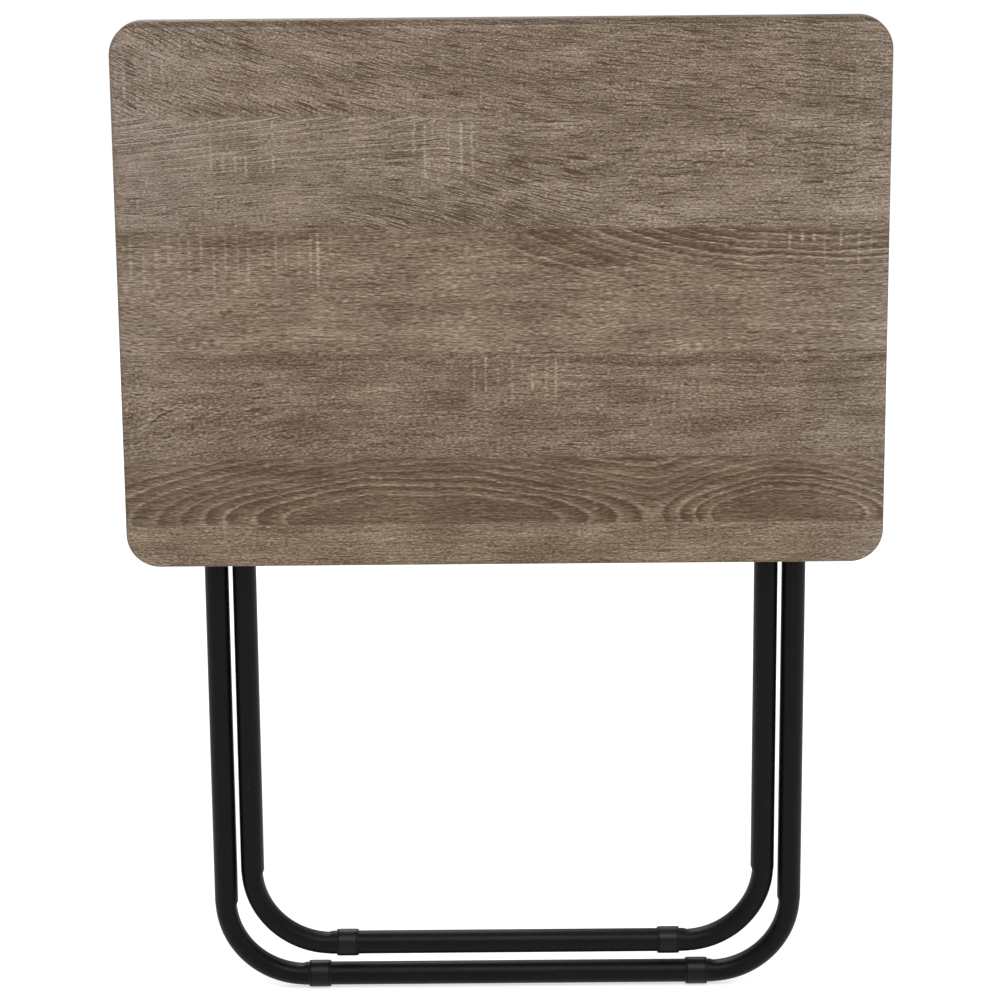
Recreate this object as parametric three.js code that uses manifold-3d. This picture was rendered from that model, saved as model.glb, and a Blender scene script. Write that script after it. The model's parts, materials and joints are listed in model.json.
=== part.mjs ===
// Folding tray table: a flat laminated top, a pair of nested U-shaped tube legs that cross
// like scissors, and a cross bar that locks the inner legs under the top.
// The table is modelled folded flat and upright. Millimetres, +X to the right, +Z up, and the
// decorated face of the top looks along -Y. The origin is on the floor, in the middle.

import * as THREE from 'three';
import { mergeVertices } from 'three/addons/utils/BufferGeometryUtils.js';
import Module from 'manifold-3d';

// ---------------------------------------------------------------- driving dimensions

const TOP_WIDTH = 500;
const TOP_DEPTH = 360;
const TOP_THICKNESS = 16;
const TOP_CORNER_RADIUS = 22;
const TOP_EDGE_RADIUS = 4;
const FOLDED_HEIGHT = 670;

const TUBE_RADIUS = 8;
const TUBE_WALL = 1.2;
const BEND_RADIUS = 54;
const OUTER_HALF_WIDTH = 193.5;   // tube centres of the outer legs
const INNER_HALF_WIDTH = 175;     // tube centres of the inner legs
const NESTING_STEP = 22.8;        // inner foot bar above the outer one when folded

const FOOT_RADIUS = 9.3;
const FOOT_BORE_RADIUS = 8.35;
const FOOT_LENGTH = 15;
const FOOT_CHAMFER = 0.4;
const OUTER_FOOT_X = 130;
const INNER_FOOT_X = 110.5;

const HINGE_DEPTH = 15;           // hinge axis below the underside of the top
const HINGE_EDGE_DISTANCE = 35;   // hinge axis from the rear edge of the top
const PIVOT_HEIGHT = 325;         // scissor pivot above the outer foot bar
const OUTER_LEAN = THREE.MathUtils.degToRad(30);   // outer legs from upright, in use

const GAP = 0.3;                  // between neighbouring solids
const HOLE_CLEARANCE = 0.35;      // added to a pin's radius for its hole
const CUT_MARGIN = 1;             // by which a drill reaches past the face that it cuts
const TUBE_END_MARGIN = 8;        // tube past its topmost cross hole

const WELD_DISTANCE = 1e-4;       // closer vertices are one vertex
const SIDES_TUBE = 24;
const SIDES_SMALL = 16;
const SIDES_SCREW = 12;
const BEND_STEPS = 6;
const TOP_EDGE_STEPS = 3;
const TOP_CORNER_STEPS = 6;
const PLATE_CORNER_STEPS = 3;
const EAR_STEPS = 8;
const SADDLE_STEPS = 6;

// ---------------------------------------------------------------- derived places

const TUBE_Y = (TOP_THICKNESS + HINGE_DEPTH + FOOT_RADIUS) / 2 - FOOT_RADIUS;
const UNDERSIDE_Y = TUBE_Y - HINGE_DEPTH;
const DECOR_Y = UNDERSIDE_Y - TOP_THICKNESS;

const OUTER_BAR_Z = FOOT_RADIUS;
const INNER_BAR_Z = OUTER_BAR_Z + NESTING_STEP;
const HINGE_Z = FOLDED_HEIGHT - HINGE_EDGE_DISTANCE;
const PIVOT_Z = OUTER_BAR_Z + PIVOT_HEIGHT;

// In use the top lies level on the hinge and on the locking bar, both at the same depth below it,
// and both foot bars stand on the floor. That fixes the inner legs' lean and length.
const outerLength = HINGE_Z - OUTER_BAR_Z;
const innerLower = PIVOT_HEIGHT - NESTING_STEP;
const innerLean = Math.acos(PIVOT_HEIGHT * Math.cos(OUTER_LEAN) / innerLower);
const innerUpper = outerLength * Math.cos(OUTER_LEAN) / Math.cos(innerLean) - innerLower;
const LOCKING_BAR_Z = PIVOT_Z + innerUpper;
const CATCH_DISTANCE = (outerLength - PIVOT_HEIGHT) * Math.sin(OUTER_LEAN)
  + innerUpper * Math.sin(innerLean);
const CATCH_Z = HINGE_Z - CATCH_DISTANCE;

// ---------------------------------------------------------------- small hardware

// A head's crown is how much smaller its outer face is than its seat, in radius.

const HINGE_PIN = {
  radius: 3,
  headRadius: 5,
  headThickness: 1.8,
  headCrown: 1,
  rivetRadius: 4.4,
  rivetThickness: 1.2,
};

const PIVOT = {
  radius: 3,
  headRadius: 6,
  headThickness: 1.8,
  headCrown: 1.2,
  washerRadius: 7.6,
  washerThickness: 1.3,
  washerChamfer: 0.2,
};

const BOLT = { radius: 2.65, headRadius: 5.5, headThickness: 1.4, headCrown: 1.5, reach: 14 };

const INSERT = { radius: 6.45, boreRadius: 3, length: 15, chamfer: 0.3 };

const BAR_CHAMFER = 0.2;

const PLUG = {
  radius: 7.8,
  shoulderRadius: 7.2,
  shoulderHeight: 0.96,
  crownRadius: 3.9,
  height: 1.6,
  spigotRadius: 6.45,
  spigotLength: 2.6,
};

const SCREW = {
  radius: 1.75,
  headRadius: 3.4,
  headHeight: 2,
  headCrown: 0.8,
  length: 11,
  pointLength: 3,
  holeRadius: 2.1,
  holeDepth: 13,
};

const BRACKET = {
  plate: 1.5,
  width: 46,
  height: 26,
  cornerRadius: 4,
  earRadius: 9,
  earSpan: 18.4,       // between the inner faces of the two ears
  screwOffset: 16.5,   // from the middle of the bracket
};

const CATCH = {
  x: 120,
  width: 26,
  backLength: 13,      // pad on the hinge side of the bar
  wallLength: 14,      // wall on the free edge's side
  wallHeight: 20,
  lipRadius: 2.5,
  padEdge: 2,
  saddleRadius: 8.4,
  flangeThickness: 2.6,
  flangeWidth: 54,
  flangeHeight: 18,
  flangeCornerRadius: 4,
  screwOffset: 20,
};

// ---------------------------------------------------------------- materials

const finishes = {
  decor: { color: 0x7d6f61, roughness: 0.6, metalness: 0 },
  powderCoat: { color: 0x1b1b1c, roughness: 0.42, metalness: 0.1 },
  blackPlastic: { color: 0x141414, roughness: 0.6, metalness: 0 },
  zincSteel: { color: 0xb4b6b8, roughness: 0.35, metalness: 1 },
  nylon: { color: 0xd9d7cf, roughness: 0.5, metalness: 0 },
};

const table = new THREE.Group();

function addPart(name, geometry, finish) {
  const mesh = new THREE.Mesh(geometry, new THREE.MeshStandardMaterial(finishes[finish]));
  mesh.name = name;
  table.add(mesh);
}

// ---------------------------------------------------------------- joins and cuts

const wasm = await Module();
wasm.setup();

function toSolid(geometry) {
  const bare = geometry.clone();
  bare.deleteAttribute('normal');
  bare.deleteAttribute('uv');
  const welded = mergeVertices(bare, WELD_DISTANCE);
  return new wasm.Manifold(new wasm.Mesh({
    numProp: 3,
    vertProperties: new Float32Array(welded.attributes.position.array),
    triVerts: new Uint32Array(welded.index.array),
  }));
}

function toGeometry(solid) {
  const mesh = solid.getMesh();
  const geometry = new THREE.BufferGeometry();
  geometry.setAttribute('position', new THREE.BufferAttribute(mesh.vertProperties, mesh.numProp));
  geometry.setIndex(new THREE.BufferAttribute(mesh.triVerts, 1));
  const faceted = geometry.toNonIndexed();
  faceted.computeVertexNormals();
  return faceted;
}

function cut(geometry, ...tools) {
  let solid = toSolid(geometry);
  for (const tool of tools) solid = solid.subtract(toSolid(tool));
  return toGeometry(solid);
}

function join(...geometries) {
  let solid = toSolid(geometries[0]);
  for (const other of geometries.slice(1)) solid = solid.add(toSolid(other));
  return toGeometry(solid);
}

// ---------------------------------------------------------------- basic shapes

// A turned piece from [distance along the axis, radius] pairs, with its axis along X.
// side is +1 when the profile's first coordinate runs towards +X, and -1 when it is mirrored.
function turnedAlongX(profile, side, sides) {
  const points = profile.map(([along, radius]) => new THREE.Vector2(radius, along));
  const geometry = new THREE.LatheGeometry(points, sides);
  geometry.rotateZ(-side * Math.PI / 2);
  return geometry;
}

function rodAlongX(radius, from, to, y, z, sides) {
  const geometry = new THREE.CylinderGeometry(radius, radius, Math.abs(to - from), sides);
  geometry.rotateZ(-Math.PI / 2);
  geometry.translate((from + to) / 2, y, z);
  return geometry;
}

function rodAlongY(radius, from, to, x, z, sides) {
  const geometry = new THREE.CylinderGeometry(radius, radius, to - from, sides);
  geometry.translate(x, (from + to) / 2, z);
  return geometry;
}

function ringProfile(bore, radius, from, to, chamfer) {
  return [
    [from, bore],
    [from, radius - chamfer],
    [from + chamfer, radius],
    [to - chamfer, radius],
    [to, radius - chamfer],
    [to, bore],
    [from, bore],
  ];
}

function polygonCircle(radius, sides) {
  const points = [];
  for (let i = 0; i < sides; i += 1) {
    const angle = i * 2 * Math.PI / sides;
    points.push(new THREE.Vector2(radius * Math.cos(angle), radius * Math.sin(angle)));
  }
  return points;
}

// A rectangle with rounded corners, centred on the origin.
function roundedRectangle(width, height, radius) {
  const x = width / 2 - radius;
  const y = height / 2 - radius;
  const shape = new THREE.Shape();
  shape.moveTo(-x, -y - radius);
  shape.lineTo(x, -y - radius);
  shape.absarc(x, -y, radius, -Math.PI / 2, 0, false);
  shape.lineTo(x + radius, y);
  shape.absarc(x, y, radius, 0, Math.PI / 2, false);
  shape.lineTo(-x, y + radius);
  shape.absarc(-x, y, radius, Math.PI / 2, Math.PI, false);
  shape.lineTo(-x - radius, -y);
  shape.absarc(-x, -y, radius, Math.PI, 3 * Math.PI / 2, false);
  return shape;
}

function extruded(shape, depth, curveSegments) {
  return new THREE.ExtrudeGeometry(shape, { depth, curveSegments, bevelEnabled: false });
}

// A flat plate with rounded corners that lies against the underside of the top.
function plateUnderTop(width, height, cornerRadius, thickness, x, z) {
  const outline = roundedRectangle(width, height, cornerRadius);
  const geometry = extruded(outline, thickness, PLATE_CORNER_STEPS);
  geometry.rotateX(Math.PI / 2);
  geometry.translate(x, UNDERSIDE_Y + GAP + thickness, z);
  return geometry;
}

// Two holes along Y through a plate under the top, one on each side of x.
function screwHoles(x, z, offset, reach) {
  return [-1, 1].map((side) => rodAlongY(
    SCREW.holeRadius, UNDERSIDE_Y - CUT_MARGIN, UNDERSIDE_Y + reach, x + side * offset, z, SIDES_SCREW,
  ));
}

// ---------------------------------------------------------------- bent tubes

// The centre line of a U-shaped leg frame. It goes down the left leg, along the foot bar and up
// the right leg, with a station only where the tube starts, bends or ends.
class LegLine extends THREE.Curve {
  constructor(halfWidth, topZ, barZ) {
    super();
    this.stations = [];
    this.addStation(-halfWidth, topZ, Math.PI);
    for (const side of [-1, 1]) {
      const centreX = side * (halfWidth - BEND_RADIUS);
      const centreZ = barZ + BEND_RADIUS;
      const start = side < 0 ? Math.PI : 3 * Math.PI / 2;
      for (let i = 0; i <= BEND_STEPS; i += 1) {
        const angle = start + i / BEND_STEPS * Math.PI / 2;
        const x = centreX + BEND_RADIUS * Math.cos(angle);
        const z = centreZ + BEND_RADIUS * Math.sin(angle);
        this.addStation(x, z, angle);
      }
    }
    this.addStation(halfWidth, topZ, 0);
  }

  // The line runs at right angles to the angle given, anticlockwise round its bends.
  addStation(x, z, angle) {
    this.stations.push({
      point: new THREE.Vector3(x, TUBE_Y, z),
      tangent: new THREE.Vector3(-Math.sin(angle), 0, Math.cos(angle)),
    });
  }

  get steps() {
    return this.stations.length - 1;
  }

  getPointAt(u, target = new THREE.Vector3()) {
    return target.copy(this.stations[Math.round(u * this.steps)].point);
  }

  getTangentAt(u, target = new THREE.Vector3()) {
    return target.copy(this.stations[Math.round(u * this.steps)].tangent);
  }
}

function legTube(halfWidth, topZ, barZ, crossHoles) {
  const wall = new THREE.Shape(polygonCircle(TUBE_RADIUS, SIDES_TUBE));
  wall.holes.push(new THREE.Path(polygonCircle(TUBE_RADIUS - TUBE_WALL, SIDES_TUBE)));
  const line = new LegLine(halfWidth, topZ, barZ);
  const tube = new THREE.ExtrudeGeometry(wall, { steps: line.steps, extrudePath: line });
  const reach = TUBE_RADIUS + CUT_MARGIN;
  const drills = [];
  for (const side of [-1, 1]) {
    for (const { z, radius } of crossHoles) {
      const x = side * halfWidth;
      drills.push(rodAlongX(radius, x - reach, x + reach, TUBE_Y, z, SIDES_SMALL));
    }
  }
  return cut(tube, ...drills);
}

// ---------------------------------------------------------------- the top

const screwPlaces = [];
for (const side of [-1, 1]) {
  const hand = side < 0 ? 'left' : 'right';
  for (const direction of [-1, 1]) {
    const post = direction === side ? 'outer' : 'inner';
    screwPlaces.push({
      name: `bracket_screw_${hand}_${post}`,
      x: side * OUTER_HALF_WIDTH + direction * BRACKET.screwOffset,
      z: HINGE_Z,
      seat: GAP + BRACKET.plate + GAP,
    });
    screwPlaces.push({
      name: `catch_screw_${hand}_${post}`,
      x: side * CATCH.x + direction * CATCH.screwOffset,
      z: CATCH_Z,
      seat: GAP + CATCH.flangeThickness + GAP,
    });
  }
}

function tabletopBoard() {
  const outline = roundedRectangle(
    TOP_WIDTH - 2 * TOP_EDGE_RADIUS,
    TOP_DEPTH - 2 * TOP_EDGE_RADIUS,
    TOP_CORNER_RADIUS - TOP_EDGE_RADIUS,
  );
  const board = new THREE.ExtrudeGeometry(outline, {
    depth: TOP_THICKNESS - 2 * TOP_EDGE_RADIUS,
    bevelSize: TOP_EDGE_RADIUS,
    bevelThickness: TOP_EDGE_RADIUS,
    bevelSegments: TOP_EDGE_STEPS,
    curveSegments: TOP_CORNER_STEPS,
  });
  board.rotateX(Math.PI / 2);
  board.translate(0, UNDERSIDE_Y - TOP_EDGE_RADIUS, FOLDED_HEIGHT - TOP_DEPTH / 2);
  const holes = screwPlaces.map(({ x, z }) => rodAlongY(
    SCREW.holeRadius, UNDERSIDE_Y - SCREW.holeDepth, UNDERSIDE_Y + CUT_MARGIN, x, z, SIDES_SCREW,
  ));
  return cut(board, ...holes);
}

addPart('tabletop_board', tabletopBoard(), 'decor');

// ---------------------------------------------------------------- hinge brackets

// A steel channel: a base plate screwed to the underside, and two ears that hold the hinge pin
// on both sides of the outer leg.
function hingeBracket(x) {
  const base = plateUnderTop(
    BRACKET.width, BRACKET.height, BRACKET.cornerRadius, BRACKET.plate, x, HINGE_Z,
  );
  const ear = new THREE.Shape();
  ear.moveTo(-BRACKET.earRadius, 0);
  ear.lineTo(-BRACKET.earRadius, HINGE_DEPTH - GAP);
  ear.absarc(0, HINGE_DEPTH - GAP, BRACKET.earRadius, Math.PI, 0, true);
  ear.lineTo(BRACKET.earRadius, 0);
  const ears = [-1, 1].map((side) => {
    const geometry = extruded(ear, BRACKET.plate, EAR_STEPS);
    geometry.translate(0, 0, -BRACKET.plate / 2);
    geometry.rotateY(Math.PI / 2);
    geometry.translate(x + side * (BRACKET.earSpan + BRACKET.plate) / 2, UNDERSIDE_Y + GAP, HINGE_Z);
    return geometry;
  });
  const reach = BRACKET.width;
  const pinHole = rodAlongX(
    HINGE_PIN.radius + HOLE_CLEARANCE, x - reach, x + reach, TUBE_Y, HINGE_Z, SIDES_SMALL,
  );
  const holes = screwHoles(x, HINGE_Z, BRACKET.screwOffset, BRACKET.plate + CUT_MARGIN);
  return cut(join(base, ...ears), pinHole, ...holes);
}

// ---------------------------------------------------------------- bar catches

// A moulded rest for the locking bar: a pad under the top, and a wall on the free edge's side
// with a hollow that fits the bar. It is open towards the hinge and away from the top.
function barCatch(x) {
  const block = new THREE.Shape();
  const saddleX = HINGE_DEPTH - GAP;
  block.moveTo(0, -CATCH.wallLength);
  block.lineTo(CATCH.wallHeight - CATCH.lipRadius, -CATCH.wallLength);
  block.absarc(
    CATCH.wallHeight - CATCH.lipRadius, -CATCH.wallLength + CATCH.lipRadius, CATCH.lipRadius,
    -Math.PI / 2, 0, false,
  );
  block.lineTo(CATCH.wallHeight, -CATCH.saddleRadius);
  block.lineTo(saddleX, -CATCH.saddleRadius);
  block.absarc(saddleX, 0, CATCH.saddleRadius, 3 * Math.PI / 2, Math.PI, true);
  block.lineTo(saddleX - CATCH.saddleRadius, CATCH.backLength - CATCH.padEdge);
  block.lineTo(saddleX - CATCH.saddleRadius - CATCH.padEdge, CATCH.backLength);
  block.lineTo(0, CATCH.backLength);
  const saddle = extruded(block, CATCH.width, SADDLE_STEPS);
  // the profile's first axis points away from the top and its second one up
  saddle.rotateX(Math.PI / 2);
  saddle.rotateZ(Math.PI / 2);
  saddle.translate(x - CATCH.width / 2, UNDERSIDE_Y + GAP, CATCH_Z);
  const flange = plateUnderTop(
    CATCH.flangeWidth, CATCH.flangeHeight, CATCH.flangeCornerRadius, CATCH.flangeThickness, x, CATCH_Z,
  );
  const holes = screwHoles(x, CATCH_Z, CATCH.screwOffset, CATCH.flangeThickness + CUT_MARGIN);
  return cut(join(saddle, flange), ...holes);
}

// ---------------------------------------------------------------- turned pieces

function hingePin(side) {
  const half = BRACKET.earSpan / 2 + BRACKET.plate + GAP;
  const geometry = turnedAlongX([
    [-half - HINGE_PIN.rivetThickness, 0],
    [-half - HINGE_PIN.rivetThickness, HINGE_PIN.rivetRadius],
    [-half, HINGE_PIN.rivetRadius],
    [-half, HINGE_PIN.radius],
    [half, HINGE_PIN.radius],
    [half, HINGE_PIN.headRadius],
    [half + HINGE_PIN.headThickness, HINGE_PIN.headRadius - HINGE_PIN.headCrown],
    [half + HINGE_PIN.headThickness, 0],
  ], side, SIDES_SMALL);
  geometry.translate(side * OUTER_HALF_WIDTH, TUBE_Y, HINGE_Z);
  return geometry;
}

function endPlug(x, tubeTopZ) {
  const seat = tubeTopZ + GAP;
  const geometry = new THREE.LatheGeometry([
    new THREE.Vector2(0, -PLUG.spigotLength),
    new THREE.Vector2(PLUG.spigotRadius, -PLUG.spigotLength),
    new THREE.Vector2(PLUG.spigotRadius, 0),
    new THREE.Vector2(PLUG.radius, 0),
    new THREE.Vector2(PLUG.shoulderRadius, PLUG.shoulderHeight),
    new THREE.Vector2(PLUG.crownRadius, PLUG.height),
    new THREE.Vector2(0, PLUG.height),
  ], SIDES_TUBE);
  geometry.rotateX(Math.PI / 2);
  geometry.translate(x, TUBE_Y, seat);
  return geometry;
}

function footSleeve(x, z) {
  const end = FOOT_LENGTH / 2;
  const profile = ringProfile(FOOT_BORE_RADIUS, FOOT_RADIUS, -end, end, FOOT_CHAMFER);
  const geometry = turnedAlongX(profile, 1, SIDES_TUBE);
  geometry.translate(x, TUBE_Y, z);
  return geometry;
}

// The outer leg's half of the scissor rivet: its head and the shank through the outer tube.
function pivotRivet(side) {
  const face = TUBE_RADIUS + GAP;
  const geometry = turnedAlongX([
    [-face, 0],
    [-face, PIVOT.radius],
    [face, PIVOT.radius],
    [face, PIVOT.headRadius],
    [face + PIVOT.headThickness, PIVOT.headRadius - PIVOT.headCrown],
    [face + PIVOT.headThickness, 0],
  ], side, SIDES_SMALL);
  geometry.translate(side * OUTER_HALF_WIDTH, TUBE_Y, PIVOT_Z);
  return geometry;
}

// The inner leg's half: the formed head on the inside and the shank through the inner tube.
function pivotTail(side) {
  const face = TUBE_RADIUS + GAP;
  const geometry = turnedAlongX([
    [-face - PIVOT.headThickness, 0],
    [-face - PIVOT.headThickness, PIVOT.headRadius - PIVOT.headCrown],
    [-face, PIVOT.headRadius],
    [-face, PIVOT.radius],
    [face + PIVOT.washerThickness, PIVOT.radius],
    [face + PIVOT.washerThickness, 0],
  ], side, SIDES_SMALL);
  geometry.translate(side * INNER_HALF_WIDTH, TUBE_Y, PIVOT_Z);
  return geometry;
}

function pivotWasher(side) {
  const face = TUBE_RADIUS + GAP;
  const profile = ringProfile(
    PIVOT.radius + HOLE_CLEARANCE,
    PIVOT.washerRadius,
    face,
    face + PIVOT.washerThickness,
    PIVOT.washerChamfer,
  );
  const geometry = turnedAlongX(profile, side, SIDES_SMALL);
  geometry.translate(side * INNER_HALF_WIDTH, TUBE_Y, PIVOT_Z);
  return geometry;
}

const barEnd = INNER_HALF_WIDTH - TUBE_RADIUS - GAP;

function lockingBar() {
  const profile = ringProfile(TUBE_RADIUS - TUBE_WALL, TUBE_RADIUS, -barEnd, barEnd, BAR_CHAMFER);
  const geometry = turnedAlongX(profile, 1, SIDES_TUBE);
  geometry.translate(0, TUBE_Y, LOCKING_BAR_Z);
  return geometry;
}

function barInsert(side) {
  const start = barEnd - INSERT.length;
  const profile = ringProfile(INSERT.boreRadius, INSERT.radius, start, barEnd, INSERT.chamfer);
  const geometry = turnedAlongX(profile, side, SIDES_TUBE);
  geometry.translate(0, TUBE_Y, LOCKING_BAR_Z);
  return geometry;
}

function barBolt(side) {
  const face = INNER_HALF_WIDTH + TUBE_RADIUS + GAP;
  const geometry = turnedAlongX([
    [barEnd - BOLT.reach, 0],
    [barEnd - BOLT.reach, BOLT.radius],
    [face, BOLT.radius],
    [face, BOLT.headRadius],
    [face + BOLT.headThickness, BOLT.headRadius - BOLT.headCrown],
    [face + BOLT.headThickness, 0],
  ], side, SIDES_SMALL);
  geometry.translate(0, TUBE_Y, LOCKING_BAR_Z);
  return geometry;
}

// A pan-head wood screw driven from the underside, seated at the given depth below it.
function screw(x, z, seat) {
  const geometry = new THREE.LatheGeometry([
    new THREE.Vector2(0, -SCREW.length),
    new THREE.Vector2(SCREW.radius, -SCREW.length + SCREW.pointLength),
    new THREE.Vector2(SCREW.radius, 0),
    new THREE.Vector2(SCREW.headRadius, 0),
    new THREE.Vector2(SCREW.headRadius - SCREW.headCrown, SCREW.headHeight),
    new THREE.Vector2(0, SCREW.headHeight),
  ], SIDES_SCREW);
  geometry.translate(x, UNDERSIDE_Y + seat, z);
  return geometry;
}

// ---------------------------------------------------------------- assembly

const outerTopZ = HINGE_Z + TUBE_END_MARGIN;
const innerTopZ = LOCKING_BAR_Z + TUBE_END_MARGIN;
const rivetHole = PIVOT.radius + HOLE_CLEARANCE;

addPart('outer_leg_tube', legTube(OUTER_HALF_WIDTH, outerTopZ, OUTER_BAR_Z, [
  { z: HINGE_Z, radius: HINGE_PIN.radius + HOLE_CLEARANCE },
  { z: PIVOT_Z, radius: rivetHole },
]), 'powderCoat');

addPart('inner_leg_tube', legTube(INNER_HALF_WIDTH, innerTopZ, INNER_BAR_Z, [
  { z: LOCKING_BAR_Z, radius: BOLT.radius + HOLE_CLEARANCE },
  { z: PIVOT_Z, radius: rivetHole },
]), 'powderCoat');

addPart('locking_bar', lockingBar(), 'powderCoat');

for (const side of [-1, 1]) {
  const hand = side < 0 ? 'left' : 'right';
  addPart(`outer_foot_${hand}`, footSleeve(side * OUTER_FOOT_X, OUTER_BAR_Z), 'blackPlastic');
  addPart(`inner_foot_${hand}`, footSleeve(side * INNER_FOOT_X, INNER_BAR_Z), 'blackPlastic');
  addPart(`outer_end_plug_${hand}`, endPlug(side * OUTER_HALF_WIDTH, outerTopZ), 'blackPlastic');
  addPart(`inner_end_plug_${hand}`, endPlug(side * INNER_HALF_WIDTH, innerTopZ), 'blackPlastic');
  addPart(`hinge_bracket_${hand}`, hingeBracket(side * OUTER_HALF_WIDTH), 'zincSteel');
  addPart(`hinge_pin_${hand}`, hingePin(side), 'zincSteel');
  addPart(`bar_catch_${hand}`, barCatch(side * CATCH.x), 'blackPlastic');
  addPart(`pivot_rivet_${hand}`, pivotRivet(side), 'zincSteel');
  addPart(`pivot_tail_${hand}`, pivotTail(side), 'zincSteel');
  addPart(`pivot_washer_${hand}`, pivotWasher(side), 'nylon');
  addPart(`bar_insert_${hand}`, barInsert(side), 'blackPlastic');
  addPart(`bar_bolt_${hand}`, barBolt(side), 'zincSteel');
}

for (const { name, x, z, seat } of screwPlaces) {
  addPart(name, screw(x, z, seat), 'zincSteel');
}

export default table;
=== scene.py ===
import json
from math import atan2, cos, pi, radians, sin, tan

import bmesh
import bpy
from mathutils import Euler, Matrix, Vector


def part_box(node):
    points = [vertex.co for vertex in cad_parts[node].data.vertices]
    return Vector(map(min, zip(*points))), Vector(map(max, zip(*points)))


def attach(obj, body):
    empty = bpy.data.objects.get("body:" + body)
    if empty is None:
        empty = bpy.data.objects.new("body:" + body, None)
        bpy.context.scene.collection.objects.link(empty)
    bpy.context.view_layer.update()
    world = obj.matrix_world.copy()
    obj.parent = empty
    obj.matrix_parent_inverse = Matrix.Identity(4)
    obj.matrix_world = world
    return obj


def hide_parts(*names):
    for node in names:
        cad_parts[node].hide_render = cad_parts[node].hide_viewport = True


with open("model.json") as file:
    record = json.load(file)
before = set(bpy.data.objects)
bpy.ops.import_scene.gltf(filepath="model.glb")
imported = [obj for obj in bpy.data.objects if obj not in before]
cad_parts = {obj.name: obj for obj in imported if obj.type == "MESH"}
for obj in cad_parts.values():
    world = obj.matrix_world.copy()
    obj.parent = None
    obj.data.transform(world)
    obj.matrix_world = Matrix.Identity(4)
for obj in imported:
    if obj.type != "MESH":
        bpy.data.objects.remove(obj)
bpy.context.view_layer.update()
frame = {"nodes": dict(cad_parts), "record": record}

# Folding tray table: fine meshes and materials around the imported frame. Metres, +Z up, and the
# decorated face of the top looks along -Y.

MM = 0.001
RIGHT = Vector((1, 0, 0))
BACK = Vector((0, 1, 0))      # from the decorated face towards the legs
UP = Vector((0, 0, 1))

BODY_OF = {
    node: body
    for body, nodes in frame["record"]["behaviour"]["bodies"].items()
    for node in nodes
}


def middle(node):
    low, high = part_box(node)
    return (low + high) / 2


# ---------------------------------------------------------------- camera and light

CAMERA_PLACE = (-0.003, -2.1486, 0.9052)
CAMERA_PITCH = 14.5           # degrees below the horizon
CAMERA_ROLL = -0.47           # degrees
LENS = 120.3                  # mm, on a sensor of SENSOR_WIDTH
SENSOR_WIDTH = 36
FAR_CLIP = 100

# Each softbox: its name, its place, its width and height, and its power in watts.
SOFTBOXES = (
    ("key_front", (0.2, -1.9, 2.6), (1.3, 1.3), 54),
    ("key_right", (2.4, -0.7, 0.8), (0.5, 0.9), 9),
    ("key_back", (-0.4, 2.4, 2.2), (1.2, 0.9), 30),
)
LIT_PLACE = (0, 0, 0.35)      # where every softbox points
SURROUNDINGS = 0.7            # brightness of the white all round


def make_camera():
    camera = bpy.data.objects.new("camera", bpy.data.cameras.new("camera"))
    camera.data.lens = LENS
    camera.data.sensor_width = SENSOR_WIDTH
    camera.data.clip_end = FAR_CLIP
    camera.location = CAMERA_PLACE
    aim = Euler((radians(90 - CAMERA_PITCH), 0, 0)).to_matrix()
    camera.rotation_euler = (aim @ Matrix.Rotation(radians(CAMERA_ROLL), 3, "Z")).to_euler()
    bpy.context.scene.collection.objects.link(camera)
    bpy.context.scene.camera = camera


def make_softbox(name, place, size, power):
    light = bpy.data.lights.new(name, "AREA")
    light.shape = "RECTANGLE"
    light.size, light.size_y = size
    light.energy = power
    softbox = bpy.data.objects.new(name, light)
    softbox.location = place
    direction = Vector(LIT_PLACE) - Vector(place)
    softbox.rotation_euler = direction.to_track_quat("-Z", "Y").to_euler()
    bpy.context.scene.collection.objects.link(softbox)


def make_studio():
    world = bpy.data.worlds.new("studio")
    world.use_nodes = True
    background = world.node_tree.nodes["Background"]
    background.inputs["Color"].default_value = (1, 1, 1, 1)
    background.inputs["Strength"].default_value = SURROUNDINGS
    bpy.context.scene.world = world
    bpy.context.scene.view_settings.view_transform = "Standard"
    for softbox in SOFTBOXES:
        make_softbox(*softbox)


make_camera()
make_studio()


# ---------------------------------------------------------------- numbers inside a material

class Number:
    """A number that changes over a surface: the output of a shader node. The usual operators
    make the math nodes."""

    def __init__(self, tree, socket):
        self.tree = tree
        self.socket = socket

    def math(self, operation, *others):
        node = self.tree.nodes.new("ShaderNodeMath")
        node.operation = operation
        for place, value in zip(node.inputs, (self, *others)):
            plug(self.tree, place, value)
        return Number(self.tree, node.outputs[0])

    def __add__(self, other):
        return self.math("ADD", other)

    def __radd__(self, other):
        return self.math("ADD", other)

    def __sub__(self, other):
        return self.math("SUBTRACT", other)

    def __rsub__(self, other):
        return self.math("MULTIPLY_ADD", -1.0, other)

    def __mul__(self, other):
        return self.math("MULTIPLY", other)

    def __truediv__(self, other):
        return self.math("DIVIDE", other)

    def at_least(self, other):
        return self.math("MAXIMUM", other)

    def at_most(self, other):
        return self.math("MINIMUM", other)

    def absolute(self):
        return self.math("ABSOLUTE")

    def root(self):
        return self.math("SQRT")

    def fraction(self):
        return self.math("FRACT")

    def whole(self):
        return self.math("FLOOR")

    def rise(self, low, high):
        """0 at low, 1 at high, and a smooth step between them. Low may be the larger."""
        node = self.tree.nodes.new("ShaderNodeMapRange")
        node.interpolation_type = "SMOOTHSTEP"
        plug(self.tree, node.inputs["Value"], self)
        node.inputs["From Min"].default_value = min(low, high)
        node.inputs["From Max"].default_value = max(low, high)
        node.inputs["To Min"].default_value = 0.0 if low < high else 1.0
        node.inputs["To Max"].default_value = 1.0 if low < high else 0.0
        return Number(self.tree, node.outputs["Result"])


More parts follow.
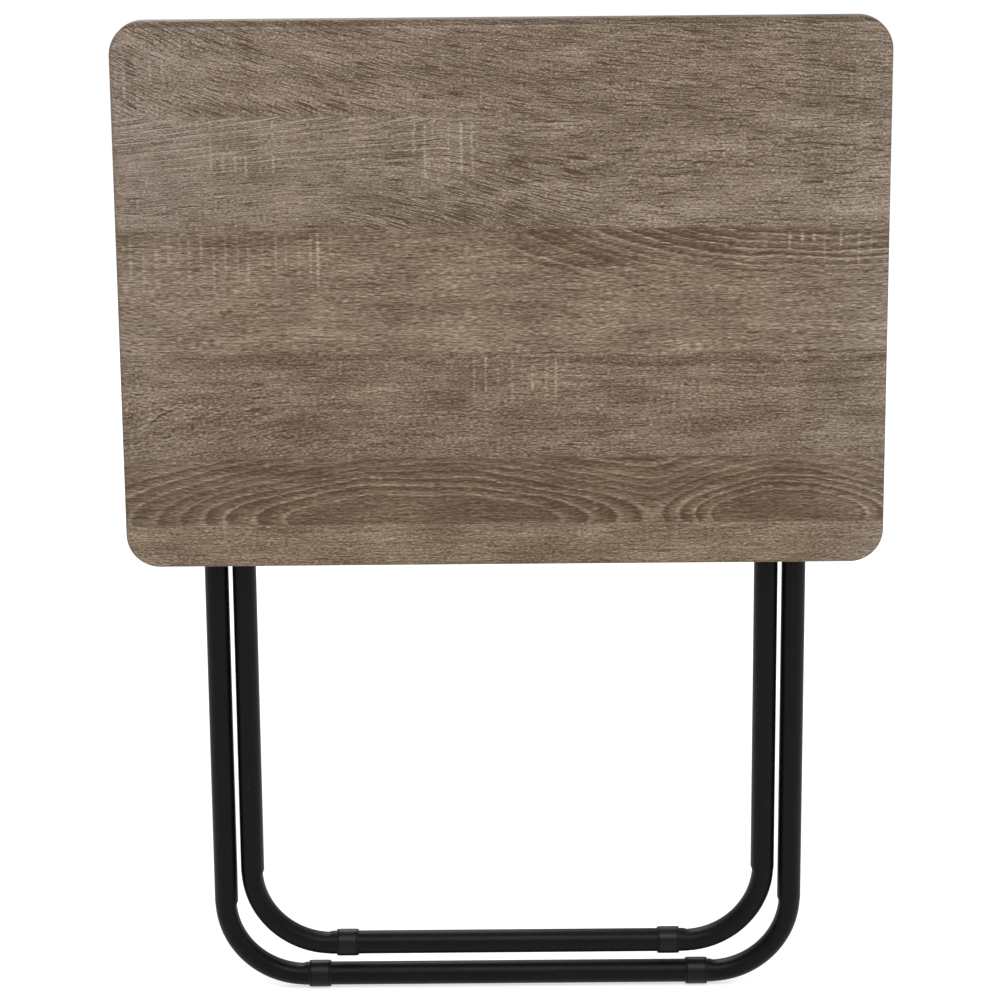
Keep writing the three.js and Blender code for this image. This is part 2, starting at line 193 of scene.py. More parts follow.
def plug(tree, socket, value):
    if isinstance(value, Number):
        tree.links.new(value.socket, socket)
    else:
        socket.default_value = value


def point(tree, x, y, z=0.0):
    node = tree.nodes.new("ShaderNodeCombineXYZ")
    for place, value in zip(node.inputs, (x, y, z)):
        plug(tree, place, value)
    return node.outputs[0]


def split(tree, vector):
    node = tree.nodes.new("ShaderNodeSeparateXYZ")
    tree.links.new(vector, node.inputs[0])
    return [Number(tree, out) for out in node.outputs]


def noise(tree, x, y, z=0.0, detail=2.0, roughness=0.5):
    """Smooth noise from 0 to 1, with a mean of 0.5, at a point given in units of its grain."""
    node = tree.nodes.new("ShaderNodeTexNoise")
    tree.links.new(point(tree, x, y, z), node.inputs["Vector"])
    node.inputs["Scale"].default_value = 1.0
    node.inputs["Detail"].default_value = detail
    node.inputs["Roughness"].default_value = roughness
    return Number(tree, node.outputs["Fac"])


def even_noise(tree, place, size, detail):
    """Noise with a grain of this size, in millimetres, in every direction."""
    x, y, z = place
    return noise(tree, x / size, y / size, z / size, detail=detail)


def chance(tree, x, y):
    """A random number from 0 to 1 for each pair of whole numbers."""
    node = tree.nodes.new("ShaderNodeTexWhiteNoise")
    node.noise_dimensions = "2D"
    tree.links.new(point(tree, x, y), node.inputs["Vector"])
    return Number(tree, node.outputs["Value"])


def linear(colour):
    """A screen colour, 0 to 255, as the linear colour that a shader takes (the sRGB curve)."""
    shares = [channel / 255 for channel in colour]
    return (*[s / 12.92 if s <= 0.04045 else ((s + 0.055) / 1.055) ** 2.4 for s in shares], 1)


def ramp(tree, value, stops):
    """The colour at value, from (place, screen colour) stops."""
    node = tree.nodes.new("ShaderNodeValToRGB")
    elements = node.color_ramp.elements
    while len(elements) < len(stops):
        elements.new(1.0)
    for element, (place, colour) in zip(elements, stops):
        element.position = place
        element.color = linear(colour)
    tree.links.new(value.socket, node.inputs["Fac"])
    return node.outputs["Color"]


# The sockets of a Mix node that mixes colours, among those for other kinds of value.
MIX_SHARE = 0
MIX_FIRST = 6
MIX_SECOND = 7
MIX_RESULT = 2


def mix_colours(tree, share, first, second):
    node = tree.nodes.new("ShaderNodeMix")
    node.data_type = "RGBA"
    tree.links.new(share.socket, node.inputs[MIX_SHARE])
    tree.links.new(first, node.inputs[MIX_FIRST])
    tree.links.new(second, node.inputs[MIX_SECOND])
    return node.outputs[MIX_RESULT]


def new_material(name):
    """The material, its node tree and its surface shader."""
    material = bpy.data.materials.new(name)
    material.use_nodes = True
    tree = material.node_tree
    return material, tree, tree.nodes["Principled BSDF"]


def emboss(tree, shader, height, depth):
    """Raises the surface by height times depth, as a bump."""
    node = tree.nodes.new("ShaderNodeBump")
    node.inputs["Strength"].default_value = 1.0
    node.inputs["Distance"].default_value = depth
    tree.links.new(height.socket, node.inputs["Height"])
    tree.links.new(node.outputs["Normal"], shader.inputs["Normal"])


def place_in_mm(tree):
    """The point on the piece at rest, as three numbers in millimetres."""
    node = tree.nodes.new("ShaderNodeTexCoord")
    return [number / MM for number in split(tree, node.outputs["Object"])]


# ---------------------------------------------------------------- the wood decor

# Places on the foil are u and v: millimetres to the right of the middle, and down from the top.
FOIL_MAP = "foil"
SEAMS = (61, 135, 216.5, 286.5, 331)
SEAM_BLUR = 0.3
ROLL_LINE = 4.8               # where the face turns into the rolled upper edge, along which a painted highlight runs
LINE_REACH = 0.9              # how far from its middle a line (a seam, or the painted highlight) fades to nothing
LINE_CORE = 0.2               # how far from its middle it keeps its full strength

OPEN_END = (9999, 1.0)        # an end of a nested figure so far away that its rings never close
LENS_BLEND = 8.0              # how softly the rings of the two lenses run together

# Each patch of saw marks: its left and right end, its top, its height, and its strength.
SAW_MARKS = (
    (-249, -208, 20, 40, 1.3),
    (-205, -130, 62, 24, 0.6),
    (-192, -142, 86, 16, 1.4),
    (-62, -14, 64, 42, 1.0),
    (170, 238, 34, 24, 0.35),
    (105, 240, 66, 36, 0.3),
    (-243, -108, 136, 42, 1.0),
    (180, 244, 138, 26, 1.2),
    (-24, 40, 218, 36, 1.0),
)
SAW_PITCH = 7.6
SAW_WIDTH = 0.9               # half the width of one mark
SAW_FADE = 4                  # length over which a patch fades at its left and right end

# Screen colours from the darkest pore to the lightest fleck, for yellowed and for grey oak.
OAK_STOPS = (0.0, 0.25, 0.5, 0.75, 1.0)
WARM_OAK = ((64, 47, 29), (85, 68, 50), (105, 89, 72), (127, 111, 94), (152, 138, 120))
GREY_OAK = ((65, 49, 35), (86, 70, 56), (105, 91, 78), (127, 113, 101), (152, 139, 129))


def by_plank(v, values):
    """Each plank's own value at v, given from the top plank to the bottom one."""
    result = values[0]
    for seam, below in zip(SEAMS, values[1:]):
        result = v.rise(seam - SEAM_BLUR, seam + SEAM_BLUR) * (below - result) + result
    return result


def nested_figure(u, v, left, right, focus):
    """Nested rings round a level line, which close to the left of one place and to the right of
    another. Each end is a place and how far the rings are pulled out there."""
    beyond = ((left[0] - u) / left[1]).at_least((u - right[0]) / right[1]).at_least(0.0)
    across = v - focus
    return (beyond * beyond + across * across).root() + beyond


def fibre_lines(u, v, level):
    """For each plank, a number that is the same all along one fibre."""
    bow = (60 - u).at_least(0.0)
    top_plank = level - u * 0.08 + bow * bow * 0.00066
    upper = level + (u + 40).at_most(0.0) * 0.32
    lower = level - u.rise(-140, 75) * 62 + (u + 120).at_most(0.0) * 0.1 + 45
    second_plank = upper + v.rise(40, 140) * (lower - upper)
    fourth_plank = level + (u + 110).at_most(0.0) * v.rise(232, 284) * 0.22
    return top_plank, second_plank, level, fourth_plank, level, level


def ring_distances(u, level, fibres):
    """For each plank, the distance from the heart of its year rings. They follow the fibres,
    but the third plank shows arches, and the fifth shows two lenses that run together."""
    arches = nested_figure(u.at_least(-15.0), level, (160, 6.5), OPEN_END, 127)
    left_lens = nested_figure(u, level, (-91, 6.8), (-20, 7.2), 327)
    right_lens = nested_figure(u, level, (170, 4.2), (200, 4.6), 326)
    lenses = left_lens.math("SMOOTH_MIN", right_lens, LENS_BLEND)
    top_plank, second_plank, _, fourth_plank, _, last_plank = fibres
    return top_plank, second_plank, arches, fourth_plank, lenses, last_plank


def year_rings(tree, u, v, level, rings, figured):
    """The tone that the year rings add: a light line on one side of a ring and a slow darkening
    on its other side, as strong as each plank shows them."""
    density = by_plank(v, (0.14, 0.115, 0.19, 0.14, 0.2, 0.14))
    rough_edge = (noise(tree, u / 5, level / 0.75, 21) - 0.5) * 0.34
    phase = rings * density + noise(tree, rings / 11, u / 150, 5.5, detail=1) * 1.5 + rough_edge
    ring = phase.fraction()
    boldness = chance(tree, phase.whole(), 3.0) * 0.9 + 0.2
    wavy = u.rise(10, -60) * v.rise(108, 88)
    edge_lines = u.rise(0, 40) * v.rise(248, 232)
    in_lens = rings.rise(13.0, 16.0)
    light_lines = by_plank(v, (
        0.1, wavy * 1.3 + 0.08, figured * 0.85 + 0.2, edge_lines * 0.7 + 0.15, in_lens * 0.95, 0.1,
    ))
    dark_sides = by_plank(v, (
        0.2, wavy * 0.15 + 0.12, figured * 1.3 + 0.1, edge_lines * 0.3 + 0.25, in_lens * 1.15, 0.12,
    ))
    light = ring.rise(0.0, 0.1) * ring.rise(0.3, 0.12) * light_lines * 0.28
    dark = ring.rise(0.3, 0.92) * ring.rise(1.0, 0.96) * dark_sides * 0.25
    return (light - dark) * boldness


def open_pores(tree, u, v, fibre):
    """Thin dark dashes along the fibres, which come in zones: 1 in a pore and 0 beside it."""
    zone = noise(tree, u / 60, v / 22, 47, detail=1)
    slanted = u.rise(-135, -95) * u.rise(80, 20) * v.rise(74, 96)
    in_plank = by_plank(v, (0.06, slanted * 0.06 + 0.035, -0.02, -0.01, -0.05, -0.04))
    share = in_plank + (zone - 0.5) * 0.24
    return (noise(tree, u / 19, fibre / 0.9, 41, detail=1) + share).rise(0.64, 0.68)


def saw_marks(tree, u, v):
    """Short light cuts across the grain, in patches."""
    wobble = (noise(tree, u / 3, v / 2.5, 61, detail=1) - 0.5) * 1.6
    column = (u + wobble) / SAW_PITCH
    number = column.whole()
    jitter = (chance(tree, number, 5.0) - 0.5) * 0.5
    off_line = (column.fraction() - 0.5 + jitter).absolute() * SAW_PITCH
    mark = off_line.rise(SAW_WIDTH * 1.5, SAW_WIDTH * 0.5)
    mark = mark * (chance(tree, number, 9.0) * 0.8 + 0.3)
    reach = chance(tree, number, 13.0) * 0.7 + 0.35
    marks = 0.0
    for left, right, top, height, strength in SAW_MARKS:
        down = (v - top) / height
        inside = u.rise(left, left + SAW_FADE) * u.rise(right, right - SAW_FADE) * down.rise(0.0, 0.05)
        marks = inside * (reach - down).rise(0.0, 0.12) * strength + marks
    return marks * mark


def on_line(value, line):
    """1 on a line, either a seam or the painted highlight along the rolled edge, and 0 away from it."""
    return (value - line).absolute().rise(LINE_REACH, LINE_CORE)


def seams_and_painted_edge_light(tree, v):
    """The tone that the seams and the board's edge add: dark seams, a painted highlight along the line
    where the upper edge starts to roll over, and a band of painted shade on the top edge beyond it. A
    painted highlight lifts that band again further round. A darker edge runs all round, which is partly
    painted shade and partly foil darkened where it is pressed round the edge."""
    # painted highlight along the start of the rolled upper edge
    tone = on_line(v, ROLL_LINE) * 0.12
    # painted shade on the top edge, lifted again by a painted highlight further round
    tone = tone - v.rise(4.3, 3.4) * 0.24 + v.rise(1.6, 0.4) * 0.2
    for seam in SEAMS:
        tone = tone - on_line(v, seam) * 0.04
    # darker edge all round: partly painted shade, partly foil darkened where it wraps the edge
    depth = place_in_mm(tree)[1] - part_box("tabletop_board")[0].y / MM
    return tone - depth.rise(0.3, 2.5) * 0.12


def decor():
    """Oak foil printed as six planks, each with its own tone, figure and grain, with painted highlight
    and painted shade on the board's rolled edge.
    """
    material, tree, shader = new_material("oak_decor")
    foil = tree.nodes.new("ShaderNodeUVMap")
    foil.uv_map = FOIL_MAP
    u, v, _ = split(tree, foil.outputs["UV"])

    # slow waves bend every line of the grain
    waves = (noise(tree, u / 80, v / 28, 3.1) - 0.5) * 6 + (noise(tree, u / 17, v / 7, 7.7) - 0.5) * 1.6
    level = v + waves
    fibres = fibre_lines(u, v, level)
    fibre = by_plank(v, fibres)
    slight = (fibre + level) / 2
    rings = by_plank(v, ring_distances(u, level, fibres))
    figured = u.rise(-10, 30) * v.rise(176, 156)
    dark_heart = rings.rise(36, 42) * rings.rise(53, 46) * u.rise(-8, 14) * u.rise(110, 45)

    # the fibres, from broad bands to single strands and grit
    broad = noise(tree, u / 34, fibre / 2.3, 1.3, detail=3) - 0.5
    fineness = by_plank(v, (0.58, 0.48, 0.24, 0.4, 0.26, 0.42))
    streak = noise(tree, u * fineness / 3, slight / 0.8, 11, detail=1) - 0.5
    lane = slight / 2.3 + noise(tree, u / 11, slight / 6, 17, detail=2) * 3
    strands = (lane.fraction() - 0.5).absolute() - 0.25
    breaks = noise(tree, u * fineness * 0.8, lane, 23, detail=1).rise(0.35, 0.65)
    grit = noise(tree, u * fineness, slight / 0.66, 31, detail=1, roughness=0.6) - 0.5
    grit = grit * by_plank(v, (1.85, 1.7, 1.55, 1.75, 1.05, 1.5))
    flecks = noise(tree, u * fineness, slight / 0.9, 53, detail=1).rise(0.6, 0.72)
    pores = open_pores(tree, u, v, fibre)

    # tone, from 0 at the darkest pore to 1 at the lightest fleck
    mottle = noise(tree, u / 50, v / 15, 83, detail=3) - 0.5
    shade = by_plank(v, (
        u.rise(40, -240) * 0.1 + 0.48,
        0.57 - v.rise(118, 136) * 0.06 - u.rise(-70, 20) * v.rise(112, 92) * 0.09,
        0.52 - v.rise(158, 136) * 0.12 - figured * 0.04 - dark_heart * 0.16,
        0.47 - v.rise(236, 218) * 0.08 - u.rise(60, 0) * v.rise(246, 262) * 0.06,
        0.35 - rings.rise(18, 9) * 0.1,
        0.48,
    ))
    ends = u.rise(-150, -245) * 0.05 + u.rise(195, 246) * 0.08
    tone = shade + ends + mottle * 0.7 + broad * 0.5 + streak * 0.55
    tone = tone + grit + strands * breaks * 1.1 + flecks * 0.12 - pores * 0.52
    tone = tone + year_rings(tree, u, v, level, rings, figured)
    tone = tone + saw_marks(tree, u, v) * (grit * 0.4 + 0.27)
    # dark seams, and painted highlight and painted shade on the rolled edge
    tone = tone + seams_and_painted_edge_light(tree, v)

    warm = ramp(tree, tone, list(zip(OAK_STOPS, WARM_OAK)))
    grey = ramp(tree, tone, list(zip(OAK_STOPS, GREY_OAK)))
    greyer_ends = u.rise(-160, -246) * 0.35 + u.rise(150, 246) * 0.5
    yellowing = by_plank(v, (0.35, 0.27, 0.7, 0.6, 0.75, 1.05)) + mottle * 0.9 - greyer_ends
    colour = mix_colours(tree, yellowing.rise(0.0, 1.0), grey, warm)
    tree.links.new(colour, shader.inputs["Base Color"])

    plug(tree, shader.inputs["Roughness"], 0.58 - streak * 0.25 + pores * 0.12)
    shader.inputs["Specular IOR Level"].default_value = 0.25
    emboss(tree, shader, streak * 0.6 + grit * 0.4 - pores, 0.05 * MM)
    return material


def backing():
    """The plain brown paper on the underside of the top."""
    material, tree, shader = new_material("backing_paper")
    x, _, z = place_in_mm(tree)
    cloud = noise(tree, x / 70, z / 70, 2.0, detail=3)
    pulp = noise(tree, x / 0.9, z / 0.9, 5.0, detail=2)
    strands = noise(tree, x / 9, z / 0.8, 9.0, detail=2)
    tone = cloud * 0.5 + pulp * 0.25 + strands * 0.25
    colour = ramp(tree, tone, ((0.3, (84, 71, 59)), (0.5, (98, 84, 71)), (0.7, (112, 98, 84))))
    tree.links.new(colour, shader.inputs["Base Color"])
    plug(tree, shader.inputs["Roughness"], 0.6 + pulp * 0.2)
    emboss(tree, shader, pulp + strands * 0.5, 0.04 * MM)
    return material


# ---------------------------------------------------------------- paint, plastic and metal

def powder_coat():
    """Near-black paint with a fine orange peel and a few paler specks."""
    material, tree, shader = new_material("powder_coat_black")
    place = place_in_mm(tree)
    x, y, z = place
    cloud = even_noise(tree, place, 24, detail=3)
    peel = even_noise(tree, place, 1.1, detail=1)
    grain = even_noise(tree, place, 0.35, detail=1)
    specks = noise(tree, x / 0.8, y / 0.8, z / 0.8 + 40, detail=0).rise(0.72, 0.8)
    tone = cloud * 0.5 + grain * 0.4 + specks * 0.25
    colour = ramp(tree, tone, ((0.2, (2, 2, 3)), (0.6, (4, 4, 5)), (1.0, (60, 60, 62))))
    tree.links.new(colour, shader.inputs["Base Color"])
    plug(tree, shader.inputs["Roughness"], 0.34 + cloud * 0.14 + grain * 0.1)
    shader.inputs["IOR"].default_value = 1.22
    emboss(tree, shader, peel * 0.7 + grain * 0.3, 0.05 * MM)
    return material


def moulded_plastic():
    """Black plastic with the fine spark texture of its mould."""
    material, tree, shader = new_material("moulded_black_plastic")
    place = place_in_mm(tree)
    cloud = even_noise(tree, place, 6, detail=3)
    spark = even_noise(tree, place, 0.22, detail=1)
    tone = cloud * 0.65 + spark * 0.35
    colour = ramp(tree, tone, ((0.25, (3, 3, 4)), (0.5, (6, 6, 7)), (0.8, (20, 20, 21))))
    tree.links.new(colour, shader.inputs["Base Color"])
    plug(tree, shader.inputs["Roughness"], 0.34 + cloud * 0.14)
    shader.inputs["IOR"].default_value = 1.27
    emboss(tree, shader, spark, 0.03 * MM)
    return material


def zinc_steel():
    """Zinc-plated steel with faint lines along X and a cloudy plating."""
    material, tree, shader = new_material("zinc_plated_steel")
    place = place_in_mm(tree)
    x, y, z = place
    cloud = even_noise(tree, place, 5, detail=3)
    rolled = noise(tree, x / 7, y / 0.3, z / 0.3, detail=2)
    spots = noise(tree, x / 1.2, y / 1.2, z / 1.2 + 9, detail=1)
    tone = cloud * 0.6 + rolled * 0.25 + spots * 0.15
    colour = ramp(tree, tone, (
        (0.3, (150, 152, 154)), (0.5, (184, 186, 188)), (0.7, (206, 205, 198)),
    ))
    tree.links.new(colour, shader.inputs["Base Color"])
    shader.inputs["Metallic"].default_value = 1.0
    plug(tree, shader.inputs["Roughness"], 0.22 + cloud * 0.2 + rolled * 0.1)
    emboss(tree, shader, rolled + spots, 0.012 * MM)
    return material


def nylon():
    """Uncoloured nylon: a milky white."""
    material, tree, shader = new_material("natural_nylon")
    place = place_in_mm(tree)
    cloud = even_noise(tree, place, 4, detail=3)
    spark = even_noise(tree, place, 0.3, detail=1)
    colour = ramp(tree, cloud, ((0.3, (206, 203, 192)), (0.7, (228, 226, 217))))
    tree.links.new(colour, shader.inputs["Base Color"])
    plug(tree, shader.inputs["Roughness"], 0.38 + spark * 0.2)
    emboss(tree, shader, spark, 0.02 * MM)
    return material


def pale_floor():
    """A white table that is lit a little from below, as studios use for products."""
    material, tree, shader = new_material("pale_floor")
    x, y, _ = place_in_mm(tree)
    cloud = noise(tree, x / 700, y / 700, detail=3)
    colour = ramp(tree, cloud, ((0.3, (185, 185, 185)), (0.7, (191, 191, 191))))
    tree.links.new(colour, shader.inputs["Base Color"])
    plug(tree, shader.inputs["Roughness"], 0.75 + cloud * 0.1)
    shader.inputs["Specular IOR Level"].default_value = 0.0
    shader.inputs["Emission Color"].default_value = (1, 1, 1, 1)
    shader.inputs["Emission Strength"].default_value = 0.65
    return material


DECOR = decor()
BACKING = backing()
PAINT = powder_coat()
PLASTIC = moulded_plastic()
STEEL = zinc_steel()
NYLON = nylon()


# ---------------------------------------------------------------- mesh tools

SHARP_ANGLE = radians(32)     # between two faces, above which their edge stays sharp
SMALL_SUPPORT = 0.2 * MM      # width of the flat ring next to a small plate's rim
SOFT_EDGE = 0.4 * MM          # rounding of the edges that only need to look worn


def fillet(points, radii, steps=4, closed=False):
    """A flat polyline with each corner rounded by an arc of its radius; 0 leaves it sharp."""
    rounded = []
    count = len(points)
    for i, corner in enumerate(points):
        radius = radii[i] if isinstance(radii, list) else radii
        is_end = not closed and i in (0, count - 1)
        if radius == 0 or is_end:
            rounded.append(tuple(corner))
            continue
        corner = Vector(corner)
        before = (Vector(points[i - 1]) - corner).normalized()
        after = (Vector(points[(i + 1) % count]) - corner).normalized()
        half = before.angle(after) / 2
        reach = radius / tan(half)
        centre = corner + (before + after).normalized() * reach / cos(half)
        start = corner + before * reach - centre
        end = corner + after * reach - centre
        first = atan2(start.y, start.x)
        sweep = (atan2(end.y, end.x) - first + pi) % (2 * pi) - pi
        for j in range(steps + 1):
            angle = first + sweep * j / steps
            rounded.append(tuple(centre + Vector((cos(angle), sin(angle))) * radius))
    return rounded


def rectangle(half_width, half_height):
    return [(half_width, -half_height), (half_width, half_height),
            (-half_width, half_height), (-half_width, -half_height)]


def outlined(points):
    """Each point of an anticlockwise outline, with its outward direction. The direction is
    longer at a corner, so that the sides of an inset outline stay parallel."""
    outline = []
    for i, place in enumerate(points):
        place = Vector(place)
        before = (place - Vector(points[i - 1])).normalized()
        after = (Vector(points[(i + 1) % len(points)]) - place).normalized()
        first = Vector((before.y, -before.x))
        second = Vector((after.y, -after.x))
        outline.append((place, (first + second) / (1 + first.dot(second))))
    return outline


def bridge(bm, first, second):
    """Faces between two rings with the same number of vertices, or a ring and one vertex."""
    count = max(len(first), len(second))
    for i in range(count):
        j = (i + 1) % count
        corners = (
            first[i % len(first)], first[j % len(first)],
            second[j % len(second)], second[i % len(second)],
        )
        bm.faces.new(list(dict.fromkeys(corners)))


def join_rings(bm, rings, closed=False):
    """A skin over a row of rings. An open row gets a flat face at each end."""
    for first, second in zip(rings, rings[1:]):
        bridge(bm, first, second)
    if closed:
        bridge(bm, rings[-1], rings[0])
        return
    for ring in (rings[0], rings[-1]):
        if len(ring) > 2:
            bm.faces.new(ring)


def turn(bm, profile, origin, axis, segments=48, closed=False):
    """A turned piece from (distance along the axis, radius) pairs. A radius may be a function
    of the angle."""
    side = axis.orthogonal().normalized()
    other = axis.cross(side)
    rings = []
    for along, radius in profile:
        centre = origin + axis * along
        if radius == 0:
            rings.append([bm.verts.new(centre)])
            continue
        ring = []
        for i in range(segments):
            angle = i * 2 * pi / segments
            reach = radius(angle) if callable(radius) else radius
            ring.append(bm.verts.new(centre + (side * cos(angle) + other * sin(angle)) * reach))
        rings.append(ring)
    join_rings(bm, rings, closed)


def rounded_profile(corners, steps=4, closed=False):
    """A flat polyline from corners that each give their place and how far they are rounded. The
    place of a turned piece's corner is its distance along the axis and its radius."""
    points = [(along, across) for along, across, _ in corners]
    return fillet(points, [rounding for _, _, rounding in corners], steps, closed)


def rim_levels(thickness, edge, steps, support):
    """(inset, depth) of the rings of a plate with two rounded rims, with a flat ring next to
    each rim so that the faces shade flat."""
    near = []
    for i in range(steps + 1):
        turned = i / steps * pi / 2
        near.append((edge * (1 - sin(turned)), edge * (1 - cos(turned))))
    far = [(inset, thickness - depth) for inset, depth in reversed(near)]
    return [(edge + support, 0.0), *near, *far, (edge + support, thickness)]


def plate(bm, outline, levels, corner, across, up, through):
    """A plate from an outline and its (inset, depth) levels. Returns its rings."""
    rings = []
    for inset, depth in levels:
        ring = []
        for place, out in outline:
            flat = place - out * inset
            ring.append(bm.verts.new(corner + across * flat.x + up * flat.y + through * depth))
        rings.append(ring)
    join_rings(bm, rings)
    return rings


def make_piece(node, bm, material, underside=None):
    """The piece that stands for a CAD node: it rides on the node's body and takes its place."""
    bmesh.ops.recalc_face_normals(bm, faces=bm.faces)
    mesh = bpy.data.meshes.new(node + "_fine")
    bm.to_mesh(mesh)
    bm.free()
    mesh.materials.append(material)
    if underside:
        mesh.materials.append(underside)
    mesh.polygons.foreach_set("use_smooth", [True] * len(mesh.polygons))
    mesh.set_sharp_from_angle(angle=SHARP_ANGLE)
    piece = bpy.data.objects.new(node + "_fine", mesh)
    bpy.context.scene.collection.objects.link(piece)
    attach(piece, BODY_OF[node])
    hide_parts(node)


# ---------------------------------------------------------------- the top

CORNER_RADIUS = 22 * MM
EDGE_RADIUS = 4 * MM
CORNER_STEPS = 16
EDGE_STEPS = 6
SUPPORT = 0.6 * MM            # width of the flat ring next to the rolled edge
PAPER_SLOT = 1                # the underside's place among the board's materials


def tabletop():
    low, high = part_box("tabletop_board")
    size = high - low
    front = Vector(((low.x + high.x) / 2, low.y, (low.z + high.z) / 2))
    corners = rectangle(size.x / 2, size.z / 2)
    outline = outlined(fillet(corners, CORNER_RADIUS, CORNER_STEPS, closed=True))
    levels = rim_levels(size.y, EDGE_RADIUS, EDGE_STEPS, SUPPORT)
    bm = bmesh.new()
    rings = plate(bm, outline, levels, front, RIGHT, UP, BACK)

    # The foil lies flat on the face and wraps round the edge without stretching.
    foil = bm.loops.layers.uv.new(FOIL_MAP)
    place_on_foil = {}
    beyond = -EDGE_RADIUS - SUPPORT
    for i, (ring, level) in enumerate(zip(rings, levels)):
        if i > 0:
            beyond += (Vector(level) - Vector(levels[i - 1])).length
        for vertex, (flat, out) in zip(ring, outline):
            spread = flat + out * beyond
            place_on_foil[vertex] = (spread.x / MM, (size.z / 2 - spread.y) / MM)
    for face in bm.faces:
        is_underside = min(vertex.co.y for vertex in face.verts) > high.y - SUPPORT / 2
        face.material_index = PAPER_SLOT if is_underside else 0
        for loop in face.loops:
            loop[foil].uv = place_on_foil[loop.vert]
    make_piece("tabletop_board", bm, DECOR, underside=BACKING)


# ---------------------------------------------------------------- legs

TUBE_WALL = 1.2 * MM
TUBE_SEGMENTS = 48
BEND_RADIUS = 54 * MM
BEND_STEPS = 28
SHOULDER = 3 * MM             # length over which a tube narrows where its bend starts
INNER_SQUEEZE = 0.14          # how far a bend's inner wall moves in, in tube radii
OUTER_SQUEEZE = 0.03


def leg_stations(half_width, top, bar, y):
    """Centre, direction towards the inside of the U, and share of the bend's squeeze."""
    bends = []
    for side in (-1, 1):
        centre = Vector((side * (half_width - BEND_RADIUS), y, bar + BEND_RADIUS))
        bend = []
        for i in range(BEND_STEPS + 1):
            turned = i / BEND_STEPS * pi / 2
            out = Vector((side * cos(turned), 0, -sin(turned)))
            from_end = min(turned, pi / 2 - turned) * BEND_RADIUS
            bend.append((centre + out * BEND_RADIUS, -out, min(1.0, from_end / SHOULDER)))
        bends.append(bend)
    left, right = bends
    start = (Vector((-half_width, y, top)), RIGHT, 0.0)
    end = (Vector((half_width, y, top)), -RIGHT, 0.0)
    return [start, *left, *reversed(right), end]


def leg_ring(bm, station, radius, wall):
    centre, inward, share = station
    ring = []
    for i in range(TUBE_SEGMENTS):
        angle = i * 2 * pi / TUBE_SEGMENTS
        squeeze = INNER_SQUEEZE if cos(angle) > 0 else OUTER_SQUEEZE
        reach = radius - wall - radius * share * squeeze * cos(angle) ** 2
        flat = inward * cos(angle) * reach + BACK * sin(angle) * (radius - wall)
        ring.append(bm.verts.new(centre + flat))
    return ring


def leg(node):
    low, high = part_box(node)
    radius = (high.y - low.y) / 2
    stations = leg_stations(high.x - radius, high.z, low.z + radius, (low.y + high.y) / 2)
    bm = bmesh.new()
    outside = [leg_ring(bm, station, radius, 0.0) for station in stations]
    inside = [leg_ring(bm, station, radius, TUBE_WALL) for station in stations]
    join_rings(bm, outside + inside[::-1], closed=True)
    make_piece(node, bm, PAINT)


def on_axis(node, x):
    """The point at x on the middle line of a node that lies along X."""
    centre = middle(node)
    return Vector((x, centre.y, centre.z))


BAR_EDGE = 0.3 * MM


def locking_bar():
    low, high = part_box("locking_bar")
    radius = (high.z - low.z) / 2
    bore = radius - TUBE_WALL
    length = high.x - low.x
    profile = rounded_profile([
        (0, bore, 0),
        (0, radius, BAR_EDGE),
        (length, radius, BAR_EDGE),
        (length, bore, 0),
    ], steps=3, closed=True)
    bm = bmesh.new()
    turn(bm, profile, on_axis("locking_bar", low.x), RIGHT, TUBE_SEGMENTS, closed=True)
    make_piece("locking_bar", bm, PAINT)


# ---------------------------------------------------------------- plastic pieces

FOOT_BORE = 8.35 * MM
FOOT_CHAMFER = 0.5 * MM
FOOT_SEGMENTS = 72
FOOT_GROOVE_PLACE = 1.2 * MM  # from each end of the sleeve
FOOT_GROOVE = 0.35 * MM       # depth of the groove, and half its width
PARTING_LINE = 0.2 * MM       # depth of the mould's line along the front and the back


def with_parting_line(radius):
    """A sleeve's radius as a function of the angle in turn(): less on the mould's line."""
    side = RIGHT.orthogonal()
    front = atan2(-BACK.dot(RIGHT.cross(side)), -BACK.dot(side))
    near_line = cos(pi / FOOT_SEGMENTS)
    return lambda angle: radius - (PARTING_LINE if abs(cos(angle - front)) > near_line else 0.0)


def foot(node):
    """A sleeve round a foot bar, with a groove near each end."""
    low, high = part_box(node)
    outside = (high.z - low.z) / 2
    length = high.x - low.x
    surface = with_parting_line(outside)
    half = [
        (0, FOOT_BORE),
        (0, with_parting_line(outside - FOOT_CHAMFER)),
        (FOOT_CHAMFER, surface),
        (FOOT_GROOVE_PLACE - FOOT_GROOVE, surface),
        (FOOT_GROOVE_PLACE, with_parting_line(outside - FOOT_GROOVE)),
        (FOOT_GROOVE_PLACE + FOOT_GROOVE, surface),
    ]
    other_half = [(length - along, radius) for along, radius in reversed(half)]
    bm = bmesh.new()
    turn(bm, half + other_half, on_axis(node, low.x), RIGHT, FOOT_SEGMENTS, closed=True)
    make_piece(node, bm, PLASTIC)


PLUG_SPIGOT = 6.45 * MM
PLUG_SPIGOT_LENGTH = 2.6 * MM
PLUG_EDGE = 0.3 * MM
PLUG_CROWN = 0.8              # radius of the flat end, as a share of the plug's radius
PLUG_DOME = 1.5 * MM          # rounding round the crown


def end_plug(node):
    low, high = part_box(node)
    radius = (high.x - low.x) / 2
    height = high.z - low.z
    centre = middle(node)
    profile = rounded_profile([
        (0, 0, 0),
        (0, PLUG_SPIGOT, SOFT_EDGE),
        (PLUG_SPIGOT_LENGTH, PLUG_SPIGOT, 0),
        (PLUG_SPIGOT_LENGTH, radius, PLUG_EDGE),
        (height, radius * PLUG_CROWN, PLUG_DOME),
        (height, 0, 0),
    ])
    bm = bmesh.new()
    turn(bm, profile, Vector((centre.x, centre.y, low.z)), UP)
    make_piece(node, bm, PLASTIC)


